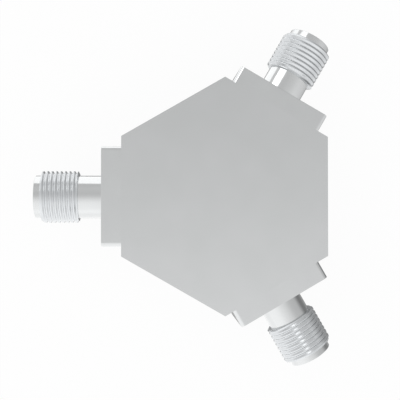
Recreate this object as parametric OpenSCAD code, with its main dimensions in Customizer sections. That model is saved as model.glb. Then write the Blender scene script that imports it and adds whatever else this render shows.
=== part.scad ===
// Two-way coaxial power splitter.
// A hexagonal metal housing carries three flange jacks on alternate flats. Inside, a
// three-armed ceramic board joins the jacks through one chip resistor in each arm.
// Millimetres. The origin is the centre of the rear face, +Z runs from the rear cover
// to the plain front face, and the input jack points along -X.

/* [Housing] */
// Distance between opposite flats of the hexagonal housing
across_flats = 24; // [23:0.1:30]
// Thickness from the rear face to the front face
housing_h = 12.7; // [12:0.1:18]
// Width of the three milled channels that hold the board
channel_w = 4; // [3.6:0.1:4.6]
// Bore that leads each contact pin from the jack into its channel
feed_hole_d = 1.85; // [1.6:0.05:2.4]

/* [Rear cover] */
// Diameter of the round cover let into the rear face
cover_d = 19; // [18:0.1:20.5]
// Thickness of the cover
cover_t = 1.6; // [1.4:0.1:2]
// Diameter of the circle that the cover screws stand on
cover_screw_circle = 13.6; // [13:0.1:14]
// Thread diameter of the cover screws
cover_screw_d = 2; // [1.6:0.1:2]
// Length of the cover screws, head included
cover_screw_l = 5; // [4:0.5:6]

/* [Jack flange] */
// Width of the flange along the flat of the housing
flange_w = 11.75; // [11.4:0.05:12.6]
// Height of the flange along the thickness of the housing
flange_h = 10.1; // [9.6:0.1:11]
// Thickness of the flange
flange_t = 2.4; // [2:0.1:3.2]
// Rounding of the four flange edges that run along the jack
flange_corner_r = 0.5; // [0.2:0.1:1]
// Thread diameter of the flange screws
flange_screw_d = 1.6; // [1.4:0.1:1.6]
// Length of the flange screws, head included
flange_screw_l = 5; // [4:0.5:6]
// Metal left between a flange screw head and the flange edge
flange_screw_edge = 0.3; // [0.2:0.05:0.4]

/* [Jack barrel] */
// Plain neck between the flange and the coupling thread
neck_d = 5.25; // [5.1:0.05:5.5]
// Length of the neck
neck_l = 3; // [2:0.1:5]
// Outside diameter of the coupling thread
thread_d = 6.35; // [6.2:0.05:6.6]
// Length of the coupling thread
thread_l = 4.5; // [3.3:0.05:6]
// Bevel at both ends of the coupling thread
thread_bevel = 0.1; // [0.1:0.05:0.3]
// Diameter of the plain lip in front of the thread
lip_d = 5.25; // [5.1:0.05:5.5]
// Length of the lip
lip_l = 0.8; // [0.3:0.05:1]
// Bevel on the front edge of the lip
lip_bevel = 0.05; // [0.05:0.05:0.2]
// Diameter of the recess that takes the mating plug
mating_d = 4.6; // [4.4:0.05:4.7]
// Depth of the recess, from the lip to the insulator
mating_depth = 1.95; // [1.5:0.05:2.4]

/* [Insulator] */
// Diameter of the insulator in the barrel
insulator_d = 4.1; // [3.8:0.05:4.2]
// Diameter of the collar that holds the insulator behind the flange
collar_d = 5; // [4.6:0.1:5.4]
// Length of the collar
collar_l = 1; // [0.6:0.1:1.4]

/* [Contact] */
// Outside diameter of the socket contact
contact_d = 1.27; // [1.22:0.01:1.4]
// Bore of the socket
socket_d = 0.94; // [0.92:0.01:1]
// Depth of the socket bore
socket_depth = 2.6; // [2.2:0.1:3.4]
// Width of the slots that part the four socket fingers
slot_w = 0.12; // [0.1:0.01:0.14]
// Length of the slots
slot_l = 1.9; // [1.2:0.1:2.1]
// Set-back of the contact behind the insulator face
contact_recess = 0.1; // [0.05:0.05:0.2]
// Diameter of the ring that locks the contact in the insulator
barb_d = 1.7; // [1.6:0.05:2]
// Length of the locking ring
barb_l = 0.8; // [0.5:0.1:1.2]
// Diameter of the pin that reaches the board
pin_d = 0.8; // [0.6:0.05:1]
// Length of pin that lies on the board track
pin_lap = 1.4; // [1:0.1:2]

/* [Board] */
// Thickness of the ceramic board
board_t = 0.635; // [0.5:0.005:0.8]
// Width of the metal tracks
track_w = 0.6; // [0.5:0.05:0.8]
// Thickness of the metal tracks
track_t = 0.035; // [0.02:0.005:0.07]
// Length of each chip resistor, along its arm
resistor_l = 1; // [0.8:0.05:1.2]
// Width of each chip resistor
resistor_w = 0.5; // [0.4:0.05:0.6]
// Thickness of each chip resistor
resistor_t = 0.35; // [0.25:0.05:0.5]
// Distance from the centre of the board to the middle of each resistor
resistor_pos = 2.4; // [2:0.1:2.8]

/* [Fits] */
// Radial clearance of pieces that sit in one another
fit_gap = 0.02; // [0.01:0.005:0.04]
// Radial clearance of the cover in its recess, and of screws in their clearance holes
loose_gap = 0.05; // [0.03:0.01:0.1]
// Clearance between the board and the channel walls
board_gap = 0.2; // [0.1:0.05:0.4]
// Solder film between a contact pin and its track
solder_t = 0.02; // [0.01:0.005:0.05]

/* [Hidden] */
$fn = 96;
eps = 0.01;

// Directions of the jacks in plan
input_angle = 180;
output_1_angle = 60;
output_2_angle = -60;
jack_angles = [input_angle, output_1_angle, output_2_angle];
cover_screw_angles = [0, 120, 240];

// Stations along a jack axis, measured from the centre of the housing
axis_h = housing_h / 2;
flat_r = across_flats / 2;
hex_r = flat_r / cos(30);
flange_front = flat_r + flange_t;
thread_start = flange_front + neck_l;
thread_end = thread_start + thread_l;
jack_front = thread_end + lip_l;
insulator_front = jack_front - mating_depth;
contact_front = insulator_front - contact_recess;
barb_mid = (flat_r + collar_l + contact_front - socket_depth) / 2;

// Channels, which stay inside the ledge that the cover rests on
cover_ledge = 0.3;
channel_end = cover_d / 2 - cover_ledge;
board_end = channel_end - channel_w / 2;
board_w = channel_w - 2 * board_gap;
pin_end = board_end - pin_lap;

// Heights of the board stack, which hangs from the channel floor
track_face = axis_h + pin_d / 2 + solder_t;
board_face = track_face + track_t;
channel_floor = board_face + board_t;

// Gap in the track under each resistor, and the two stations where it begins and ends
resistor_gap = resistor_l / 2;
gap_start = resistor_pos - resistor_gap / 2;
gap_end = resistor_pos + resistor_gap / 2;

// Flat-head screw proportions, as multiples of the thread diameter
head_ratio = 1.9;
head_rim_ratio = 0.08;
drive_w_ratio = 0.22;
drive_l_ratio = 1.1;
drive_depth_ratio = 0.4;

// How far a screw head sits below the face, and free depth below a screw's tip
head_sink = 0.03;
tap_run_out = 0.8;

// Flange screw places
flange_screw_inset = flange_screw_d * head_ratio / 2 + flange_screw_edge;
flange_screw_y = flange_w / 2 - flange_screw_inset;
flange_screw_z = flange_h / 2 - flange_screw_inset;

steel = [0.76, 0.77, 0.78];
screw_steel = [0.62, 0.63, 0.65];
gold = [0.90, 0.72, 0.36];
ptfe = [0.95, 0.95, 0.93];
ceramic = [0.93, 0.92, 0.88];
resistor_black = [0.10, 0.10, 0.12];

// Lays children out along one jack axis: local +X runs outwards, the axis is Y = Z = 0
module along(angle)
    rotate([0, 0, angle])
        translate([0, 0, axis_h])
            children();

// Rod on the local X axis
module rod(d, from, to)
    translate([from, 0, 0])
        rotate([0, 90, 0])
            cylinder(d = d, h = to - from);

// Flat-head screw, head face up at Z = 0, shank down
module flat_screw(d, l) {
    head_d = d * head_ratio;
    rim = d * head_rim_ratio;
    cone = (head_d - d) / 2;
    difference() {
        union() {
            translate([0, 0, -l])
                cylinder(d = d, h = l);
            translate([0, 0, -rim])
                cylinder(d = head_d, h = rim);
            translate([0, 0, -rim - cone])
                cylinder(d1 = d, d2 = head_d, h = cone);
        }
        for (turn = [0, 90])
            rotate([0, 0, turn])
                translate([-d * drive_l_ratio / 2, -d * drive_w_ratio / 2, -d * drive_depth_ratio])
                    cube([d * drive_l_ratio, d * drive_w_ratio, d]);
    }
}

// Countersunk clearance hole for a flat-head screw, from Z = 0 down through a plate
module flat_screw_hole(d, plate) {
    head_d = d * head_ratio + 2 * loose_gap;
    rim = d * head_rim_ratio + head_sink;
    hole_d = d + 2 * loose_gap;
    cone = (head_d - hole_d) / 2;
    translate([0, 0, -plate - eps])
        cylinder(d = hole_d, h = plate + 2 * eps);
    translate([0, 0, -rim])
        cylinder(d = head_d, h = rim + eps);
    translate([0, 0, -rim - cone])
        cylinder(d1 = hole_d, d2 = head_d, h = cone);
}

// Puts children at the four flange screws of a jack, local +Z pointing outwards
module at_flange_screws()
    for (side = [-1, 1], level = [-1, 1])
        translate([flange_front, side * flange_screw_y, level * flange_screw_z])
            rotate([0, 90, 0])
                children();

// Puts children at the cover screws, local +Z pointing out of the rear face
module at_cover_screws()
    for (angle = cover_screw_angles)
        rotate([0, 0, angle])
            translate([cover_screw_circle / 2, 0, 0])
                rotate([180, 0, 0])
                    children();

// Plan of the three channels with their milled round ends
module channel_plan()
    for (angle = jack_angles)
        rotate(angle) {
            translate([0, -channel_w / 2])
                square([channel_end - channel_w / 2, channel_w]);
            translate([channel_end - channel_w / 2, 0])
                circle(d = channel_w);
            circle(d = channel_w);
        }

module housing()
    color(steel)
        difference() {
            rotate([0, 0, 30])
                cylinder(r = hex_r, h = housing_h, $fn = 6);
            translate([0, 0, -eps])
                cylinder(d = cover_d + 2 * loose_gap, h = cover_t + eps);
            linear_extrude(height = channel_floor)
                channel_plan();
            for (angle = jack_angles)
                along(angle) {
                    rod(feed_hole_d, channel_end - channel_w / 2, flat_r + eps);
                    at_flange_screws()
                        translate([0, 0, -flange_screw_l - head_sink - tap_run_out])
                            cylinder(d = flange_screw_d + 2 * fit_gap, h = flange_screw_l);
                }
            at_cover_screws()
                translate([0, 0, -cover_screw_l - head_sink - tap_run_out])
                    cylinder(d = cover_screw_d + 2 * fit_gap, h = cover_screw_l);
        }

module rear_cover()
    color(steel)
        difference() {
            cylinder(d = cover_d, h = cover_t);
            at_cover_screws()
                flat_screw_hole(cover_screw_d, cover_t);
        }

module cover_screws()
    color(screw_steel)
        at_cover_screws()
            translate([0, 0, -head_sink])
                flat_screw(cover_screw_d, cover_screw_l);

module splitter_board()
    color(ceramic)
        translate([0, 0, board_face])
            linear_extrude(height = board_t)
                for (angle = jack_angles)
                    rotate(angle)
                        translate([0, -board_w / 2])
                            square([board_end, board_w]);

module board_tracks()
    color(gold)
        translate([0, 0, track_face])
            linear_extrude(height = track_t) {
                for (angle = jack_angles)
                    rotate(angle) {
                        translate([0, -track_w / 2])
                            square([gap_start, track_w]);
                        translate([gap_end, -track_w / 2])
                            square([board_end - gap_end, track_w]);
                    }
                circle(d = track_w);
            }

module chip_resistor(angle)
    color(resistor_black)
        rotate([0, 0, angle])
            translate([resistor_pos - resistor_l / 2, -resistor_w / 2, track_face - resistor_t])
                cube([resistor_l, resistor_w, resistor_t]);

module input_resistor()
    chip_resistor(input_angle);

module output_1_resistor()
    chip_resistor(output_1_angle);

module output_2_resistor()
    chip_resistor(output_2_angle);

// Flange outline in the plane across the jack axis
module flange_plan() {
    square([flange_h - 2 * flange_corner_r, flange_w], center = true);
    square([flange_h, flange_w - 2 * flange_corner_r], center = true);
    for (side = [-1, 1], level = [-1, 1])
        translate([level * (flange_h / 2 - flange_corner_r), side * (flange_w / 2 - flange_corner_r)])
            circle(r = flange_corner_r);
}

// Half outline of the barrel, radius against station
module barrel_profile()
    polygon([
        [0, flange_front - flange_t / 2],
        [neck_d / 2, flange_front - flange_t / 2],
        [neck_d / 2, thread_start],
        [thread_d / 2 - thread_bevel, thread_start],
        [thread_d / 2, thread_start + thread_bevel],
        [thread_d / 2, thread_end - thread_bevel],
        [thread_d / 2 - thread_bevel, thread_end],
        [lip_d / 2, thread_end],
        [lip_d / 2, jack_front - lip_bevel],
        [lip_d / 2 - lip_bevel, jack_front],
        [0, jack_front]
    ]);

module jack_shell(angle)
    color(steel)
        along(angle)
            difference() {
                union() {
                    translate([flat_r, 0, 0])
                        rotate([0, 90, 0])
                            linear_extrude(height = flange_t)
                                flange_plan();
                    rotate([0, 90, 0])
                        rotate_extrude()
                            barrel_profile();
                }
                rod(insulator_d + 2 * fit_gap, flat_r - eps, jack_front + eps);
                rod(mating_d, insulator_front, jack_front + eps);
                rod(collar_d + 2 * fit_gap, flat_r - eps, flat_r + collar_l + fit_gap);
                at_flange_screws()
                    flat_screw_hole(flange_screw_d, flange_t);
            }

module input_jack_shell()
    jack_shell(input_angle);

module output_1_jack_shell()
    jack_shell(output_1_angle);

module output_2_jack_shell()
    jack_shell(output_2_angle);

module insulator(angle)
    color(ptfe)
        along(angle)
            difference() {
                union() {
                    rod(insulator_d, flat_r, insulator_front);
                    rod(collar_d, flat_r, flat_r + collar_l);
                }
                rod(contact_d + 2 * fit_gap, flat_r - eps, insulator_front + eps);
                rod(barb_d + 2 * fit_gap, barb_mid - barb_l / 2 - fit_gap, barb_mid + barb_l / 2 + fit_gap);
            }

module input_insulator()
    insulator(input_angle);

module output_1_insulator()
    insulator(output_1_angle);

module output_2_insulator()
    insulator(output_2_angle);

module contact(angle)
    color(gold)
        along(angle)
            difference() {
                union() {
                    rod(contact_d, flat_r, contact_front);
                    rod(barb_d, barb_mid - barb_l / 2, barb_mid + barb_l / 2);
                    rod(pin_d, pin_end, flat_r + eps);
                }
                rod(socket_d, contact_front - socket_depth, contact_front + eps);
                for (turn = [0, 90])
                    rotate([turn, 0, 0])
                        translate([contact_front - slot_l, -slot_w / 2, -contact_d])
                            cube([slot_l + eps, slot_w, 2 * contact_d]);
            }

module input_contact()
    contact(input_angle);

module output_1_contact()
    contact(output_1_angle);

module output_2_contact()
    contact(output_2_angle);

module flange_screws(angle)
    color(screw_steel)
        along(angle)
            at_flange_screws()
                translate([0, 0, -head_sink])
                    flat_screw(flange_screw_d, flange_screw_l);

module input_flange_screws()
    flange_screws(input_angle);

module output_1_flange_screws()
    flange_screws(output_1_angle);

module output_2_flange_screws()
    flange_screws(output_2_angle);

housing();
rear_cover();
cover_screws();
splitter_board();
board_tracks();
input_resistor();
output_1_resistor();
output_2_resistor();
input_jack_shell();
output_1_jack_shell();
output_2_jack_shell();
input_insulator();
output_1_insulator();
output_2_insulator();
input_contact();
output_1_contact();
output_2_contact();
input_flange_screws();
output_1_flange_screws();
output_2_flange_screws();
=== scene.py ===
import math

import bmesh
import bpy
from mathutils import Matrix, Vector


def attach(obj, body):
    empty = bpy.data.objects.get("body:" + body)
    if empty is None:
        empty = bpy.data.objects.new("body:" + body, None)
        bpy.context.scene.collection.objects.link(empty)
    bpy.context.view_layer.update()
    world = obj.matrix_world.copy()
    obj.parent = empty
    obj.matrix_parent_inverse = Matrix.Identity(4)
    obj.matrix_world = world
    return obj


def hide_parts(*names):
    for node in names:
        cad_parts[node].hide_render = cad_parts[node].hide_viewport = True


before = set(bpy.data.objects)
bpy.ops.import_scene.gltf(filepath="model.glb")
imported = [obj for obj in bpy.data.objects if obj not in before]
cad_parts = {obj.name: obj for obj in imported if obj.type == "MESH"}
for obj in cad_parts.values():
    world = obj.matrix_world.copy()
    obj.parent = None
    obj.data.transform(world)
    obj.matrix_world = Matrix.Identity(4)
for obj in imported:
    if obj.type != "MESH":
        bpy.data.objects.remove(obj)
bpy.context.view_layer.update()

# Sizes in millimetres, the same as in the part's source. Stations run out along a jack
# from the middle of the housing.
MM = 0.001
AXIS_HEIGHT = 6.35
JACK_ANGLES = {"input": 180, "output_1": 60, "output_2": -60}

FLANGE_BACK = 12.0
FLANGE_FRONT = 14.4
FLANGE_WIDTH = 11.75
FLANGE_HEIGHT = 10.1
FLANGE_CORNER = 0.5

NECK_RADIUS = 2.625
# The lip ends 0.003 mm short of the source's, so that it stays inside the source's box.
LIP_FRONT = 22.697
LIP_BEVEL = 0.05
PLUG_RADIUS = 2.3
PLUG_FLOOR = 20.75
BORE_RADIUS = 2.07
COLLAR_FRONT = 13.02
COLLAR_RADIUS = 2.52

THREAD_START = 17.4
THREAD_END = 21.9
THREAD_BEVEL = 0.1
CREST_RADIUS = 3.175

FLANGE_SCREW = 1.6
FLANGE_SCREW_ACROSS = 8.11
FLANGE_SCREW_UP = 6.46
COVER_SCREW = 2.0
COVER_SCREW_CIRCLE = 13.6
COVER_SCREWS = 3
SCREW_LENGTH = 5
HEAD_SINK = 0.03
HEAD_RATIO = 1.9
RIM_RATIO = 0.08
SCREW_GAP = 0.05

# Finer sizes that the source leaves out: the ridges of the thread, broken edges and the screws' recess.
ROOT_RADIUS = 2.975
THREAD_BORE = 2.6
THREAD_PITCH = 0.54
THREAD_PITCHES = 12
FIRST_CREST = 16.627
CREST_WIDTH = 0.14
FLANK_WIDTH = 0.115
JOIN_DISTANCE = 0.001
EDGE_BREAK = 0.04
MOUTH_BREAK = 0.03
SCREW_TIP = 0.15
# Reach, half width and height of the cross recess at its mouth, its step and its floor, as shares of
# the shank's diameter.
CROSS_LEVELS = [(0.55, 0.11, 0), (0.5, 0.095, -0.22), (0.18, 0.07, -0.42)]
# Radius and station from the flange's front along the barrel, round the lip, and back through the bore.
BARREL_PROFILE = [
    (NECK_RADIUS, FLANGE_FRONT), (NECK_RADIUS, LIP_FRONT - LIP_BEVEL), (NECK_RADIUS - LIP_BEVEL, LIP_FRONT),
    (PLUG_RADIUS + MOUTH_BREAK, LIP_FRONT), (PLUG_RADIUS, LIP_FRONT - MOUTH_BREAK), (PLUG_RADIUS, PLUG_FLOOR),
    (BORE_RADIUS, PLUG_FLOOR), (BORE_RADIUS, COLLAR_FRONT),
    (COLLAR_RADIUS, COLLAR_FRONT), (COLLAR_RADIUS, FLANGE_BACK)]

# How many sides and rows round shapes have, and from how many degrees on an edge stays sharp.
BARREL_SIDES = 128
THREAD_SIDES = 240
ROWS_A_PITCH = 4.0
CLOSING_ROWS = 3.0
SCREW_SIDES = 48
CORNER_STEPS = 10
JACK_SHARP = 35
THREAD_SHARP = 62
SCREW_SHARP = 30

# The camera, in pixels of a square picture: its focal length and the point it looks straight at.
PICTURE_SIDE = 400
FOCAL_LENGTH = 697.442
CENTRE_X = 183.382
CENTRE_Y = 200.485
# Its sensor in millimetres, its place in metres and its turns in radians.
SENSOR_WIDTH = 36
CAMERA_PLACE = (-0.0085124, -0.0014124, 0.0929682)
CAMERA_TURN_X = -0.01145
CAMERA_TURN_Y = 0.04564
CAMERA_TURN_Z = 0.00006

# The studio, in metres: the floor lies just under the part.
FLOOR_HALF_WIDTH = 1.5
FLOOR_DROP = 0.00005
# How much of the floor's white the camera sees as it is, and not as paint that takes a shadow.
FLOOR_GLOW = 0.93
SOFTBOX_WIDTH = 0.135
SOFTBOX_LENGTH = 0.456
SOFTBOX_DISTANCE = 0.7
SOFTBOX_WATTS = 0.317
# From where the softbox shines on the part, and which way its length runs.
SOFTBOX_FROM = (-0.536, 0.605, 0.604)
SOFTBOX_ALONG = (-0.616, 0.355, -0.703)
# Where the tent's light changes from the front, 0, to the back, 1, and its level there.
TENT_LEVELS = [
    (0.0, 1.33), (0.05, 1.25), (0.235, 1.186), (0.368, 1.03), (0.44, 0.924), (0.51, 0.817),
    (0.5735, 0.753), (0.655, 0.709), (0.875, 0.755), (0.95, 0.709)]
# Two white strips, in degrees round from +X, and the shade under the part with the way up from it.
STRIP_HEADINGS = (97, 134)
SHADE_LEVEL = 0.33
SHADE_UP = (-0.2, -0.2, 1.0)


def jack_frame(angle):
    """From a jack's own millimetres, Z out along the barrel and Y up, to the part's metres."""
    turn = math.radians(angle)
    out = Vector((math.cos(turn), math.sin(turn), 0))
    side = Vector((-math.sin(turn), math.cos(turn), 0))
    up = Vector((0, 0, 1))
    place = Matrix((side, up, out)).transposed().to_4x4()
    return Matrix.Translation((0, 0, AXIS_HEIGHT * MM)) @ place @ Matrix.Scale(MM, 4)


def linear(colour):
    """A hex colour as it shows on a screen, turned into the linear colour a shader takes."""
    parts = [int(colour[i:i + 2], 16) / 255 for i in (1, 3, 5)]
    return [p / 12.92 if p <= 0.04045 else ((p + 0.055) / 1.055) ** 2.4 for p in parts] + [1]


def add(tree, kind, inputs=None, **settings):
    """Adds a node with its settings; an input is a plain value or the socket it is fed from."""
    node = tree.nodes.new(kind)
    for name, value in settings.items():
        setattr(node, name, value)
    for name, value in (inputs or {}).items():
        if isinstance(value, bpy.types.NodeSocket):
            tree.links.new(value, node.inputs[name])
        else:
            node.inputs[name].default_value = value
    return node


def shader_tree(name):
    """A new material with an empty node tree."""
    material = bpy.data.materials.new(name)
    material.use_nodes = True
    material.node_tree.nodes.clear()
    return material, material.node_tree


def coat(tree, colours, cloud, marks, metallic, gloss, strength, depth_mm):
    """Ends a material's tree: its colour runs between two hex colours with the cloud pattern, and
    its roughness, from smooth to dull, and its relief follow the marks."""
    tone = add(tree, "ShaderNodeMix", {
        "Factor": cloud, "A": linear(colours[0]), "B": linear(colours[1])}, data_type="RGBA")
    rough = add(tree, "ShaderNodeMapRange", {"Value": marks, "To Min": gloss[0], "To Max": gloss[1]})
    relief = add(tree, "ShaderNodeBump", {"Height": marks, "Strength": strength, "Distance": depth_mm * MM})
    surface = add(tree, "ShaderNodeBsdfPrincipled", {
        "Base Color": tone.outputs["Result"], "Metallic": metallic,
        "Roughness": rough.outputs[0], "Normal": relief.outputs[0]})
    add(tree, "ShaderNodeOutputMaterial", {"Surface": surface.outputs[0]})


def nickel_plate(name, lay):
    """Bright nickel over machined aluminium: a neutral grey mirror, a little softened by the
    fine milling under the plate. The lay says how often its marks change in a metre along X, Y
    and Z: least often the way the cutter went."""
    material, tree = shader_tree(name)
    place = add(tree, "ShaderNodeTexCoord").outputs["Object"]
    # Milling marks 0.03 mm apart are drawn about 0.2 mm apart so that they show at all.
    streaks = add(tree, "ShaderNodeMapping", {"Vector": place, "Scale": lay})
    marks = add(tree, "ShaderNodeTexNoise", {"Vector": streaks.outputs[0], "Scale": 1.0, "Detail": 3.0})
    # Plating clouds a few millimetres across.
    cloud = add(tree, "ShaderNodeTexNoise", {"Vector": place, "Scale": 260.0, "Detail": 2.0})
    coat(tree, ("#ced0d0", "#d5d6d7"), cloud.outputs["Fac"], marks.outputs["Fac"],
         metallic=1.0, gloss=(0.11, 0.19), strength=0.02, depth_mm=0.02)
    return material


def turned_stainless(name, colours, gloss):
    """Passivated stainless steel straight off the lathe: the same grey as the nickel, with fine
    rings round the jack, which follow the distance along it that each piece stores."""
    material, tree = shader_tree(name)
    along = add(tree, "ShaderNodeAttribute", attribute_name="station")
    place = add(tree, "ShaderNodeTexCoord").outputs["Object"]
    # A feed of 0.05 mm a turn is drawn at about 0.2 mm so that it shows.
    rings = add(tree, "ShaderNodeTexNoise", {"W": along.outputs["Fac"], "Scale": 5.0, "Detail": 3.0},
                noise_dimensions="1D")
    cloud = add(tree, "ShaderNodeTexNoise", {"Vector": place, "Scale": 420.0, "Detail": 2.0})
    coat(tree, colours, cloud.outputs["Fac"], rings.outputs["Fac"],
         metallic=1.0, gloss=gloss, strength=0.03, depth_mm=0.02)
    return material


def speckled(name, colours, size_mm, metallic, gloss, depth_mm):
    """A material whose colour, gloss and relief all vary over grains of one size."""
    material, tree = shader_tree(name)
    place = add(tree, "ShaderNodeTexCoord").outputs["Object"]
    grain = add(tree, "ShaderNodeTexNoise", {"Vector": place, "Scale": 1 / (size_mm * MM), "Detail": 3.0})
    coat(tree, colours, grain.outputs["Fac"], grain.outputs["Fac"],
         metallic=metallic, gloss=gloss, strength=0.1, depth_mm=depth_mm)
    return material


nickel_block = nickel_plate("nickel_plated_aluminium", (700, 5200, 1800))
nickel_cover = nickel_plate("nickel_plated_cover", (5200, 700, 1800))
stainless = turned_stainless("turned_stainless_steel", ("#cfd0d1", "#d5d7d7"), gloss=(0.10, 0.18))
# The threads are chased with a single point, which leaves them a little duller.
chased_steel = turned_stainless("chased_stainless_steel", ("#ced1d3", "#d6d8da"), gloss=(0.24, 0.32))
# Cold-headed stainless screws: a touch darker and duller than the turned jacks.
screw_steel = speckled("headed_stainless_steel", ("#b9b9ba", "#c9c9c8"), size_mm=0.25,
                       metallic=1.0, gloss=(0.2, 0.34), depth_mm=0.01)
# Electroplated gold over beryllium copper: warm yellow, slightly cloudy.
gold = speckled("gold_plate", ("#d9ac55", "#e8c46e"), size_mm=0.2,
                metallic=1.0, gloss=(0.16, 0.3), depth_mm=0.01)
# Machined PTFE: milky white, waxy, faintly mottled.
ptfe = speckled("ptfe", ("#e9e9e6", "#f4f4f2"), size_mm=0.35,
                metallic=0.0, gloss=(0.38, 0.55), depth_mm=0.02)
# Fired alumina: matt white with a fine grain.
alumina = speckled("fired_alumina", ("#dedad2", "#eeebe4"), size_mm=0.12,
                   metallic=0.0, gloss=(0.5, 0.7), depth_mm=0.01)
# Gold film printed and fired on the board: darker and duller than the plate.
film = speckled("fired_gold_film", ("#c99b48", "#dcb766"), size_mm=0.1,
                metallic=1.0, gloss=(0.28, 0.45), depth_mm=0.01)
# Glass-glazed chip resistor: dark, smooth, faintly mottled.
glaze = speckled("resistor_glaze", ("#1f2122", "#2f3232"), size_mm=0.1,
                 metallic=0.0, gloss=(0.2, 0.35), depth_mm=0.005)


def new_piece(name, mesh):
    """A piece of the part, in place, with its mesh in the part's frame."""
    piece = bpy.data.objects.new(name, mesh)
    bpy.context.scene.collection.objects.link(piece)
    return piece


def dress(piece, material):
    """Gives a piece or a CAD node one material."""
    piece.data.materials.clear()
    piece.data.materials.append(material)


def soften(mesh, sharp_degrees):
    """Shades curved faces smooth and keeps every real edge sharp."""
    mesh.polygons.foreach_set("use_smooth", [True] * len(mesh.polygons))
    mesh.set_sharp_from_angle(angle=math.radians(sharp_degrees))


def mark_stations(mesh, place):
    """Stores how far along its jack each point lies, in millimetres, for the lathe rings."""
    back = place.inverted()
    station = mesh.attributes.new("station", "FLOAT", "POINT")
    station.data.foreach_set("value", [(back @ v.co).z for v in mesh.vertices])


def settle(piece):
    """Turns a piece's modifiers into plain mesh."""
    evaluated = piece.evaluated_get(bpy.context.evaluated_depsgraph_get())
    mesh = bpy.data.meshes.new_from_object(evaluated)
    mesh.name = piece.name
    piece.modifiers.clear()
    piece.data = mesh


def rounded_rectangle(width, height, radius, inset):
    """Corner points of a rounded rectangle, anticlockwise, drawn in by a small inset."""
    points = []
    for quarter, (x, y) in enumerate(((1, 1), (-1, 1), (-1, -1), (1, -1))):
        for step in range(CORNER_STEPS + 1):
            turn = math.radians(90 * quarter + 90 / CORNER_STEPS * step)
            points.append((x * (width / 2 - radius) + (radius - inset) * math.cos(turn),
                           y * (height / 2 - radius) + (radius - inset) * math.sin(turn)))
    return points


def circle(radius, sides, x=0, y=0):
    """Points round a circle, anticlockwise."""
    return [(x + radius * math.cos(2 * math.pi * i / sides), y + radius * math.sin(2 * math.pi * i / sides))
            for i in range(sides)]


def cross(reach, wing):
    """Corner points of a cross, anticlockwise, with arms of a reach and a half width."""
    points = [(reach, wing), (wing, wing), (wing, reach)]
    for _ in range(3):
        points += [(-y, x) for x, y in points[-3:]]
    return points


def skin(shape, wall):
    """Adds a wall to a shape being built, through its (points, height) loops from front to back,
    and gives back the loops as they stand in the shape."""
    loops = [[shape.verts.new((x, y, height)) for x, y in points] for points, height in wall]
    for upper, lower in zip(loops, loops[1:]):
        for i in range(len(upper)):
            j = (i + 1) % len(upper)
            shape.faces.new((upper[i], upper[j], lower[j], lower[i]))
    return loops


def edges_round(shape, loop):
    """The edges that join the points of a loop."""
    return [shape.edges.get((loop[i - 1], loop[i])) for i in range(len(loop))]


def drilled_plate(shape, walls):
    """Adds a flat plate to a shape being built. Its walls are the outer one, holes, and a hollow
    barrel that starts on its front and ends on its back."""
    caps = [[], []]
    for wall in walls:
        loops = skin(shape, wall)
        for cap, loop in zip(caps, (loops[0], loops[-1])):
            cap += edges_round(shape, loop)
    for cap in caps:
        bmesh.ops.triangle_fill(shape, use_beauty=True, edges=cap)


def countersink(shank, front, back, x, y):
    """The loops of a flat-head screw's clearance hole."""
    hole = shank / 2 + SCREW_GAP
    head = shank * HEAD_RATIO / 2 + SCREW_GAP
    rim = front - (shank * RIM_RATIO + HEAD_SINK)
    cone = rim - (head - hole)
    return [(circle(radius, SCREW_SIDES, x, y), height)
            for radius, height in ((head, front), (head, rim), (hole, cone), (hole, back))]


def built_mesh(name, shape, place, sharp_degrees):
    """The mesh of a built shape put in place, its faces pointing outwards."""
    bmesh.ops.recalc_face_normals(shape, faces=shape.faces)
    shape.transform(place)
    mesh = bpy.data.meshes.new(name)
    shape.to_mesh(mesh)
    shape.free()
    soften(mesh, sharp_degrees)
    return mesh


def jack(port):
    """One jack: a drilled flange with its turned barrel, the thread zone left as a plain core."""
    place = jack_frame(JACK_ANGLES[port])
    shape = bmesh.new()
    outer = [(rounded_rectangle(FLANGE_WIDTH, FLANGE_HEIGHT, FLANGE_CORNER, inset), station)
             for inset, station in ((EDGE_BREAK, FLANGE_FRONT), (0, FLANGE_FRONT - EDGE_BREAK),
                                    (0, FLANGE_BACK + EDGE_BREAK), (EDGE_BREAK, FLANGE_BACK))]
    barrel = [(circle(radius, BARREL_SIDES), station) for radius, station in BARREL_PROFILE]
    holes = [countersink(FLANGE_SCREW, FLANGE_FRONT, FLANGE_BACK,
                         x * FLANGE_SCREW_ACROSS / 2, y * FLANGE_SCREW_UP / 2)
             for x in (-1, 1) for y in (-1, 1)]
    drilled_plate(shape, [outer, barrel] + holes)
    name = port + "_jack"
    piece = new_piece(name, built_mesh(name, shape, place, JACK_SHARP))
    dress(piece, stainless)
    # Flat faces stay flat beside their broken edges.
    flats = piece.modifiers.new("flats", "WEIGHTED_NORMAL")
    flats.keep_sharp = True
    settle(piece)
    mark_stations(piece.data, place)
    return piece


def inputs_of(tree, sockets):
    """Adds named inputs to a Geometry Nodes tree and gives back their sockets inside it."""
    for name, kind, value in sockets:
        socket = tree.interface.new_socket(name, in_out="INPUT", socket_type=kind)
        if value is not None:
            socket.default_value = value
    return tree.nodes.new("NodeGroupInput").outputs


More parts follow.
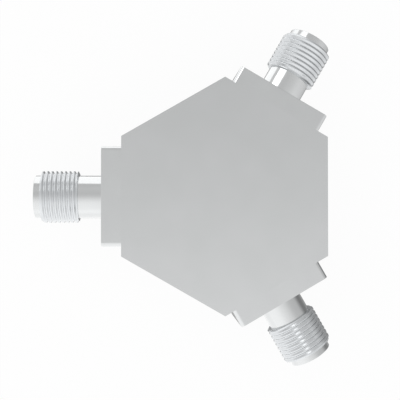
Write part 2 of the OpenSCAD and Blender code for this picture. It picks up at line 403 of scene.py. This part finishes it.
def coupling_thread_tree():
    """One right-hand thread as a closed ring, in a jack's own millimetres. Four rows of points a
    pitch follow the edges of the crest and of the root round the barrel; a bevel runs the crests
    out at both ends, and three last rows close the ring along its bore."""
    tree = bpy.data.node_groups.new("coupling_thread", "GeometryNodeTree")
    size = inputs_of(tree, [
        ("Start", "NodeSocketFloat", THREAD_START),
        ("End", "NodeSocketFloat", THREAD_END),
        ("Bevel", "NodeSocketFloat", THREAD_BEVEL),
        ("Crest Radius", "NodeSocketFloat", CREST_RADIUS),
        ("Root Radius", "NodeSocketFloat", ROOT_RADIUS),
        ("Bore Radius", "NodeSocketFloat", THREAD_BORE),
        ("Pitch", "NodeSocketFloat", THREAD_PITCH),
        ("Pitches", "NodeSocketInt", THREAD_PITCHES),
        ("First Crest", "NodeSocketFloat", FIRST_CREST),
        ("Crest Width", "NodeSocketFloat", CREST_WIDTH),
        ("Flank Width", "NodeSocketFloat", FLANK_WIDTH),
        ("Sides", "NodeSocketInt", THREAD_SIDES),
        ("Metal", "NodeSocketMaterial", None),
    ])
    tree.interface.new_socket("Thread", in_out="OUTPUT", socket_type="NodeSocketGeometry")

    # A flat sheet of points with one row for each edge of the ridges and each closing row, a unit apart.
    ridges = add(tree, "ShaderNodeMath", {0: size["Pitches"], 1: ROWS_A_PITCH},
                 operation="MULTIPLY").outputs[0]
    rows = add(tree, "ShaderNodeMath", {0: ridges, 1: CLOSING_ROWS}).outputs[0]
    last = add(tree, "ShaderNodeMath", {0: ridges, 1: CLOSING_ROWS - 1}).outputs[0]
    columns = add(tree, "ShaderNodeMath", {0: size["Sides"], 1: 1.0}).outputs[0]
    sheet = add(tree, "GeometryNodeMeshGrid", {
        "Size X": 1.0, "Size Y": last, "Vertices X": columns, "Vertices Y": rows}).outputs["Mesh"]
    position = add(tree, "GeometryNodeInputPosition").outputs[0]
    spot = add(tree, "ShaderNodeSeparateXYZ", {0: position}).outputs
    turn = add(tree, "ShaderNodeMath", {0: spot["X"], 1: 0.5}).outputs[0]
    row = add(tree, "ShaderNodeMath", {0: last, 1: 0.5, 2: spot["Y"]}, operation="MULTIPLY_ADD").outputs[0]
    row = add(tree, "ShaderNodeMath", {0: row}, operation="ROUND").outputs[0]

    # Where a row runs: steps 1 and 2 are the two edges of a crest, steps 0 and 3 those of the root.
    step = add(tree, "ShaderNodeMath", {0: row, 1: ROWS_A_PITCH}, operation="MODULO").outputs[0]
    pitch_number = add(tree, "ShaderNodeMath", {0: row, 1: ROWS_A_PITCH}, operation="DIVIDE").outputs[0]
    pitch_number = add(tree, "ShaderNodeMath", {0: pitch_number}, operation="FLOOR").outputs[0]
    turns = add(tree, "ShaderNodeMath", {0: pitch_number, 1: turn}).outputs[0]
    crest_line = add(tree, "ShaderNodeMath", {0: turns, 1: size["Pitch"], 2: size["First Crest"]},
                     operation="MULTIPLY_ADD").outputs[0]
    beside = add(tree, "ShaderNodeMath", {0: step, 1: 1.5}, operation="SUBTRACT").outputs[0]
    side = add(tree, "ShaderNodeMath", {0: beside}, operation="SIGN").outputs[0]
    reach = add(tree, "ShaderNodeMath", {0: beside}, operation="ABSOLUTE").outputs[0]
    on_crest = add(tree, "ShaderNodeMath", {0: reach, 1: 1.0}, operation="LESS_THAN").outputs[0]
    crest_edge = add(tree, "ShaderNodeMath", {0: size["Crest Width"], 1: 0.5},
                     operation="MULTIPLY").outputs[0]
    root_edge = add(tree, "ShaderNodeMath", {0: crest_edge, 1: size["Flank Width"]}).outputs[0]
    edge = add(tree, "GeometryNodeSwitch", {"Switch": on_crest, "False": root_edge, "True": crest_edge},
               input_type="FLOAT").outputs[0]
    offset = add(tree, "ShaderNodeMath", {0: edge, 1: side}, operation="MULTIPLY").outputs[0]
    wound = add(tree, "ShaderNodeMath", {0: crest_line, 1: offset}).outputs[0]
    station = add(tree, "ShaderNodeClamp", {
        "Value": wound, "Min": size["Start"], "Max": size["End"]}).outputs[0]

    # How high it runs: full height on a crest, and run out by the bevel at both ends.
    from_start = add(tree, "ShaderNodeMath", {0: station, 1: size["Start"]}, operation="SUBTRACT").outputs[0]
    from_end = add(tree, "ShaderNodeMath", {0: size["End"], 1: station}, operation="SUBTRACT").outputs[0]
    from_tip = add(tree, "ShaderNodeMath", {0: from_start, 1: from_end}, operation="MINIMUM").outputs[0]
    run_out = add(tree, "ShaderNodeMapRange", {"Value": from_tip, "From Max": size["Bevel"]}).outputs[0]
    height = add(tree, "ShaderNodeMath", {0: on_crest, 1: run_out}, operation="MULTIPLY").outputs[0]
    radius = add(tree, "ShaderNodeMapRange", {
        "Value": height, "To Min": size["Root Radius"], "To Max": size["Crest Radius"]}).outputs[0]

    # The last rows, counted from 0: the bore at the end, the bore at the start, and the root at the
    # start again.
    tail = add(tree, "ShaderNodeMath", {0: row, 1: ridges}, operation="SUBTRACT").outputs[0]
    in_tail = add(tree, "ShaderNodeMath", {0: tail, 1: -0.5}, operation="GREATER_THAN").outputs[0]
    back = add(tree, "ShaderNodeMath", {0: tail, 1: 0.5}, operation="GREATER_THAN").outputs[0]
    closing = add(tree, "ShaderNodeMath", {0: tail, 1: 1.5}, operation="GREATER_THAN").outputs[0]
    tail_station = add(tree, "GeometryNodeSwitch", {
        "Switch": back, "False": size["End"], "True": size["Start"]}, input_type="FLOAT").outputs[0]
    tail_radius = add(tree, "GeometryNodeSwitch", {
        "Switch": closing, "False": size["Bore Radius"], "True": size["Root Radius"]},
        input_type="FLOAT").outputs[0]
    station = add(tree, "GeometryNodeSwitch", {"Switch": in_tail, "False": station, "True": tail_station},
                  input_type="FLOAT").outputs[0]
    radius = add(tree, "GeometryNodeSwitch", {"Switch": in_tail, "False": radius, "True": tail_radius},
                 input_type="FLOAT").outputs[0]

    # The sheet is wrapped round the barrel, and its first and last row and column are joined.
    angle = add(tree, "ShaderNodeMath", {0: turn, 1: 2 * math.pi}, operation="MULTIPLY").outputs[0]
    across = add(tree, "ShaderNodeMath", {0: angle}, operation="COSINE").outputs[0]
    up = add(tree, "ShaderNodeMath", {0: angle}, operation="SINE").outputs[0]
    circle_point = add(tree, "ShaderNodeCombineXYZ", {"X": across, "Y": up}).outputs[0]
    around = add(tree, "ShaderNodeVectorMath", {0: circle_point, "Scale": radius},
                 operation="SCALE").outputs[0]
    along = add(tree, "ShaderNodeCombineXYZ", {"Z": station}).outputs[0]
    place = add(tree, "ShaderNodeVectorMath", {0: around, 1: along}).outputs[0]
    wrapped = add(tree, "GeometryNodeSetPosition", {"Geometry": sheet, "Position": place}).outputs[0]
    closed = add(tree, "GeometryNodeMergeByDistance", {
        "Geometry": wrapped, "Distance": JOIN_DISTANCE}).outputs[0]
    real = add(tree, "GeometryNodeRealizeInstances", {"Geometry": closed}).outputs[0]
    metal = add(tree, "GeometryNodeSetMaterial", {"Geometry": real, "Material": size["Metal"]}).outputs[0]
    add(tree, "NodeGroupOutput", {0: metal})
    return tree


def grow(name, tree, values, place):
    """Runs a Geometry Nodes tree once with the values given by input name, and keeps its result
    as a plain mesh put in place."""
    piece = new_piece(name, bpy.data.meshes.new(name))
    modifier = piece.modifiers.new("shape", "NODES")
    modifier.node_group = tree
    for socket in tree.interface.items_tree:
        if socket.in_out == "INPUT" and socket.name in values:
            modifier[socket.identifier] = values[socket.name]
    settle(piece)
    piece.data.transform(place)
    return piece


def flat_head_screw(name, shank):
    """A flat-head screw with a cross recess, its head's face at the origin and its shank along -Z,
    with the same proportions as the part's source."""
    head = HEAD_RATIO * shank / 2
    rim = RIM_RATIO * shank
    cone = rim + head - shank / 2
    profile = [(head - EDGE_BREAK, 0), (head, -EDGE_BREAK), (head, -rim), (shank / 2, -cone),
               (shank / 2, SCREW_TIP - SCREW_LENGTH), (shank / 2 - SCREW_TIP, -SCREW_LENGTH)]
    shape = bmesh.new()
    body = skin(shape, [(circle(radius, SCREW_SIDES), height) for radius, height in profile])
    shape.faces.new(body[-1])
    recess = skin(shape, [(cross(reach * shank, wing * shank), height * shank)
                          for reach, wing, height in CROSS_LEVELS])
    shape.faces.new(recess[-1])
    bmesh.ops.triangle_fill(shape, use_beauty=True,
                            edges=edges_round(shape, body[0]) + edges_round(shape, recess[0]))
    return bpy.data.objects.new(name, built_mesh(name, shape, Matrix.Identity(4), SCREW_SHARP))


def drive(tree, size, points, screw, seat_height):
    """Ends a tree of screws: one stands on each point, each left at its own turn, their heads at
    the height of their seats."""
    turn = add(tree, "FunctionNodeRandomValue", {"Max": (0, 0, 2 * math.pi), "Seed": size["Seed"]},
               data_type="FLOAT_VECTOR")
    driven = add(tree, "GeometryNodeInstanceOnPoints", {
        "Points": points, "Instance": screw, "Rotation": turn.outputs[0]})
    seat = add(tree, "ShaderNodeCombineXYZ", {"Z": seat_height})
    seated = add(tree, "GeometryNodeTransform", {
        "Geometry": driven.outputs[0], "Translation": seat.outputs[0]})
    real = add(tree, "GeometryNodeRealizeInstances", {"Geometry": seated.outputs[0]})
    metal = add(tree, "GeometryNodeSetMaterial", {"Geometry": real.outputs[0], "Material": size["Metal"]})
    tree.interface.new_socket("Screws", in_out="OUTPUT", socket_type="NodeSocketGeometry")
    add(tree, "NodeGroupOutput", {0: metal.outputs[0]})


def flange_screws_tree():
    """Four screws at the corners of a flange."""
    tree = bpy.data.node_groups.new("flange_screws", "GeometryNodeTree")
    size = inputs_of(tree, [
        ("Across", "NodeSocketFloat", FLANGE_SCREW_ACROSS),
        ("Up", "NodeSocketFloat", FLANGE_SCREW_UP),
        ("Head Station", "NodeSocketFloat", FLANGE_FRONT - HEAD_SINK),
        ("Seed", "NodeSocketInt", 1),
        ("Screw", "NodeSocketObject", None),
        ("Metal", "NodeSocketMaterial", None),
    ])
    corners = add(tree, "GeometryNodeMeshGrid", {
        "Size X": size["Across"], "Size Y": size["Up"], "Vertices X": 2, "Vertices Y": 2})
    screw = add(tree, "GeometryNodeObjectInfo", {"Object": size["Screw"]})
    drive(tree, size, corners.outputs[0], screw.outputs["Geometry"], size["Head Station"])
    return tree


def cover_screws_tree():
    """Screws evenly round the rear cover, heads facing back."""
    tree = bpy.data.node_groups.new("cover_screws", "GeometryNodeTree")
    size = inputs_of(tree, [
        ("Circle Radius", "NodeSocketFloat", COVER_SCREW_CIRCLE / 2),
        ("Screws", "NodeSocketInt", COVER_SCREWS),
        ("Head Height", "NodeSocketFloat", HEAD_SINK),
        ("Seed", "NodeSocketInt", 4),
        ("Screw", "NodeSocketObject", None),
        ("Metal", "NodeSocketMaterial", None),
    ])
    ring = add(tree, "GeometryNodeMeshCircle", {
        "Vertices": size["Screws"], "Radius": size["Circle Radius"]})
    screw = add(tree, "GeometryNodeObjectInfo", {"Object": size["Screw"]})
    back = add(tree, "GeometryNodeTransform", {
        "Geometry": screw.outputs["Geometry"], "Rotation": (math.pi, 0, 0)})
    drive(tree, size, ring.outputs[0], back.outputs[0], size["Head Height"])
    return tree


thread_tree = coupling_thread_tree()
flange_tree = flange_screws_tree()
cover_tree = cover_screws_tree()
flange_screw = flat_head_screw("flange_screw", FLANGE_SCREW)
cover_screw = flat_head_screw("cover_screw", COVER_SCREW)

for number, port in enumerate(JACK_ANGLES):
    place = jack_frame(JACK_ANGLES[port])
    shell = jack(port)
    thread = grow(port + "_thread", thread_tree, {"Metal": chased_steel}, place)
    soften(thread.data, THREAD_SHARP)
    mark_stations(thread.data, place)
    screws = grow(port + "_screw_set", flange_tree,
                  {"Seed": number + 1, "Screw": flange_screw, "Metal": screw_steel}, place)
    for piece in (shell, thread, screws):
        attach(piece, "root")
    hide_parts(port + "_jack_shell")
    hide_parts(port + "_flange_screws")
    dress(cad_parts[port + "_insulator"], ptfe)
    dress(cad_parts[port + "_contact"], gold)
    dress(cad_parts[port + "_resistor"], glaze)

cover_set = grow("cover_screw_set", cover_tree, {"Screw": cover_screw, "Metal": screw_steel},
                 Matrix.Scale(MM, 4))
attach(cover_set, "root")
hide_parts("cover_screws")
for helper in (flange_screw, cover_screw):
    bpy.data.objects.remove(helper)

dress(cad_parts["housing"], nickel_block)
dress(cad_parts["rear_cover"], nickel_cover)
dress(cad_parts["splitter_board"], alumina)
dress(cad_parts["board_tracks"], film)


def studio_floor():
    """A plain floor that shows almost pure white apart from the part's own soft shadow."""
    material, tree = shader_tree("white_floor")
    seen = add(tree, "ShaderNodeLightPath").outputs["Is Camera Ray"]
    paint = add(tree, "ShaderNodeBsdfDiffuse", {"Color": linear("#f6f6f6")})
    white = add(tree, "ShaderNodeEmission", {"Color": linear("#ffffff"), "Strength": 1.0})
    share = add(tree, "ShaderNodeMath", {0: seen, 1: FLOOR_GLOW}, operation="MULTIPLY")
    mix = add(tree, "ShaderNodeMixShader", {0: share.outputs[0], 1: paint.outputs[0], 2: white.outputs[0]})
    add(tree, "ShaderNodeOutputMaterial", {"Surface": mix.outputs[0]})
    shape = bmesh.new()
    bmesh.ops.create_grid(shape, x_segments=1, y_segments=1, size=FLOOR_HALF_WIDTH)
    mesh = bpy.data.meshes.new("floor")
    shape.to_mesh(mesh)
    shape.free()
    mesh.transform(Matrix.Translation((0, 0, -FLOOR_DROP)))
    floor = new_piece("floor", mesh)
    dress(floor, material)
    floor.visible_glossy = False


def tent_light(tree, toward):
    """The level of the tent over the part: brighter to the front and left, dim in the right corners."""
    depth = add(tree, "ShaderNodeMapRange", {"Value": toward["Y"], "From Min": -1.0, "From Max": 1.0})
    tent = add(tree, "ShaderNodeValToRGB", {0: depth.outputs[0]})
    stops = tent.color_ramp.elements
    while len(stops) < len(TENT_LEVELS):
        stops.new(0.5)
    for stop, (at, level) in zip(stops, TENT_LEVELS):
        stop.position = at
        stop.color = (level, level, level, 1)
    from_left = add(tree, "ShaderNodeMapRange", {
        "Value": toward["X"], "From Min": -0.1, "From Max": -0.7, "To Min": 1.0, "To Max": 1.08},
        interpolation_type="SMOOTHSTEP")
    from_right = add(tree, "ShaderNodeMapRange", {
        "Value": toward["X"], "From Min": 0.25, "From Max": 0.65, "To Min": 1.0, "To Max": 0.93},
        interpolation_type="SMOOTHSTEP")
    # The back right corner of the room is left dim, most of all near the ground.
    to_right = add(tree, "ShaderNodeMapRange", {"Value": toward["X"], "From Min": 0.3, "From Max": 0.85},
                   interpolation_type="SMOOTHSTEP")
    to_back = add(tree, "ShaderNodeMapRange", {"Value": toward["Y"], "From Min": -0.45, "From Max": 0.4},
                  interpolation_type="SMOOTHSTEP")
    to_ground = add(tree, "ShaderNodeMapRange", {
        "Value": toward["Z"], "From Min": 0.45, "From Max": -0.2, "To Max": 0.63},
        interpolation_type="SMOOTHSTEP")
    back_right = add(tree, "ShaderNodeMath", {0: to_right.outputs[0], 1: to_back.outputs[0]},
                     operation="MULTIPLY")
    dim = add(tree, "ShaderNodeMath", {0: back_right.outputs[0], 1: to_ground.outputs[0]},
              operation="MULTIPLY")
    undimmed = add(tree, "ShaderNodeMath", {0: 1.0, 1: dim.outputs[0]}, operation="SUBTRACT")
    # The front right corner is a little dim too, which gives the front face its tone from the back.
    to_front = add(tree, "ShaderNodeMapRange", {"Value": toward["Y"], "From Min": -0.45, "From Max": -0.68},
                   interpolation_type="SMOOTHSTEP")
    front_right = add(tree, "ShaderNodeMath", {0: to_right.outputs[0], 1: to_front.outputs[0]},
                      operation="MULTIPLY")
    corner = add(tree, "ShaderNodeMapRange", {"Value": front_right.outputs[0], "To Min": 1.0, "To Max": 0.7})
    level = tent.outputs[0]
    for share in (from_left, from_right, undimmed, corner):
        level = add(tree, "ShaderNodeMath", {0: level, 1: share.outputs[0]}, operation="MULTIPLY").outputs[0]
    return level


def white_sweep(tree, heading, toward):
    """The white sweep low round the part: how far it hides the tent, and its level."""
    # It reaches a little above the horizon, on all sides but the right.
    horizon = add(tree, "ShaderNodeMath", {0: toward["X"], 1: -0.42, 2: toward["Z"]},
                  operation="MULTIPLY_ADD")
    low = add(tree, "ShaderNodeMapRange", {
        "Value": horizon.outputs[0], "From Min": 0.298, "From Max": 0.253}, interpolation_type="SMOOTHSTEP")
    open_side = add(tree, "ShaderNodeMapRange", {"Value": toward["X"], "From Min": 0.45, "From Max": 0.15},
                    interpolation_type="SMOOTHSTEP")
    sweep = add(tree, "ShaderNodeMath", {0: low.outputs[0], 1: open_side.outputs[0]}, operation="MULTIPLY")
    # It is whitest at the horizon and calmer towards the foot of the part, most of all at the back.
    far = add(tree, "ShaderNodeMapRange", {
        "Value": toward["Y"], "From Min": -0.4, "From Max": 0.4, "To Min": 1.34, "To Max": 1.5})
    near = add(tree, "ShaderNodeMapRange", {
        "Value": toward["Y"], "From Min": -0.4, "From Max": 0.4, "To Min": 1.25, "To Max": 1.02})
    foot = add(tree, "ShaderNodeMapRange", {"Value": toward["Z"], "From Min": 0.0, "From Max": -0.32},
               interpolation_type="SMOOTHSTEP")
    calm = foot.outputs[0]
    # Two tall white strips at the back and at the back left reach down to the ground.
    for degrees in STRIP_HEADINGS:
        turn = math.radians(degrees)
        beside = add(tree, "ShaderNodeVectorMath", {0: heading, 1: (-math.sin(turn), math.cos(turn), 0)},
                     operation="DOT_PRODUCT")
        apart = add(tree, "ShaderNodeMath", {0: beside.outputs["Value"]}, operation="ABSOLUTE")
        outside = add(tree, "ShaderNodeMapRange", {
            "Value": apart.outputs[0], "From Min": 0.08, "From Max": 0.11}, interpolation_type="SMOOTHSTEP")
        calm = add(tree, "ShaderNodeMath", {0: calm, 1: outside.outputs[0]}, operation="MULTIPLY").outputs[0]
    white = add(tree, "ShaderNodeMix", {"Factor": calm, "A": far.outputs[0], "B": near.outputs[0]},
                data_type="FLOAT")
    return sweep.outputs[0], white.outputs[0]


def studio_light():
    """White behind the part, and for its metal a tent over a white sweep."""
    world = bpy.data.worlds.new("studio")
    world.use_nodes = True
    tree = world.node_tree
    tree.nodes.clear()
    heading = add(tree, "ShaderNodeTexCoord").outputs["Generated"]
    toward = add(tree, "ShaderNodeSeparateXYZ", {0: heading}).outputs
    upper = tent_light(tree, toward)
    sweep, white = white_sweep(tree, heading, toward)
    light = add(tree, "ShaderNodeMix", {"Factor": sweep, "A": upper, "B": white}, data_type="FLOAT")
    # The ground right under the part, a little to its back right, lies in its shade.
    under = add(tree, "ShaderNodeVectorMath", {0: heading, 1: SHADE_UP}, operation="DOT_PRODUCT")
    shade = add(tree, "ShaderNodeMapRange", {
        "Value": under.outputs["Value"], "From Min": -0.9, "From Max": -0.95},
        interpolation_type="SMOOTHSTEP")
    grounded = add(tree, "ShaderNodeMix", {
        "Factor": shade.outputs[0], "A": light.outputs[0], "B": SHADE_LEVEL}, data_type="FLOAT")
    seen = add(tree, "ShaderNodeLightPath").outputs["Is Camera Ray"]
    level = add(tree, "ShaderNodeMix", {"Factor": seen, "A": grounded.outputs[0], "B": 1.0},
                data_type="FLOAT")
    sky = add(tree, "ShaderNodeBackground", {"Color": linear("#ffffff"), "Strength": level.outputs[0]})
    add(tree, "ShaderNodeOutputWorld", {"Surface": sky.outputs[0]})
    bpy.context.scene.world = world


def softbox():
    """A strip that leans over the part from the back left, its length in a plane through the part."""
    lamp = bpy.data.lights.new("softbox", "AREA")
    lamp.shape = "RECTANGLE"
    lamp.size = SOFTBOX_WIDTH
    lamp.size_y = SOFTBOX_LENGTH
    lamp.energy = SOFTBOX_WATTS
    box = bpy.data.objects.new("softbox", lamp)
    aim = Vector(SOFTBOX_FROM).normalized()
    width = Vector(SOFTBOX_ALONG).cross(aim).normalized()
    turn = Matrix((width, aim.cross(width), aim)).transposed().to_4x4()
    box.matrix_world = Matrix.Translation(aim * SOFTBOX_DISTANCE) @ turn
    box.visible_camera = False
    bpy.context.scene.collection.objects.link(box)


def product_camera():
    """Looks down on the front face from a little to the left, as the picture was taken."""
    lens = bpy.data.cameras.new("camera")
    lens.sensor_width = SENSOR_WIDTH
    lens.lens = FOCAL_LENGTH * SENSOR_WIDTH / PICTURE_SIDE
    lens.shift_x = (PICTURE_SIDE / 2 - CENTRE_X) / PICTURE_SIDE
    lens.shift_y = (CENTRE_Y - PICTURE_SIDE / 2) / PICTURE_SIDE
    lens.clip_start = 0.001
    lens.clip_end = 10
    view = bpy.data.objects.new("camera", lens)
    tilt = (Matrix.Rotation(CAMERA_TURN_X, 3, "X") @ Matrix.Rotation(CAMERA_TURN_Y, 3, "Y")
            @ Matrix.Rotation(CAMERA_TURN_Z, 3, "Z"))
    view.matrix_world = Matrix.Translation(CAMERA_PLACE) @ tilt.transposed().to_4x4()
    bpy.context.scene.collection.objects.link(view)
    bpy.context.scene.camera = view


studio_floor()
studio_light()
softbox()
product_camera()
bpy.context.scene.view_settings.view_transform = "Standard"
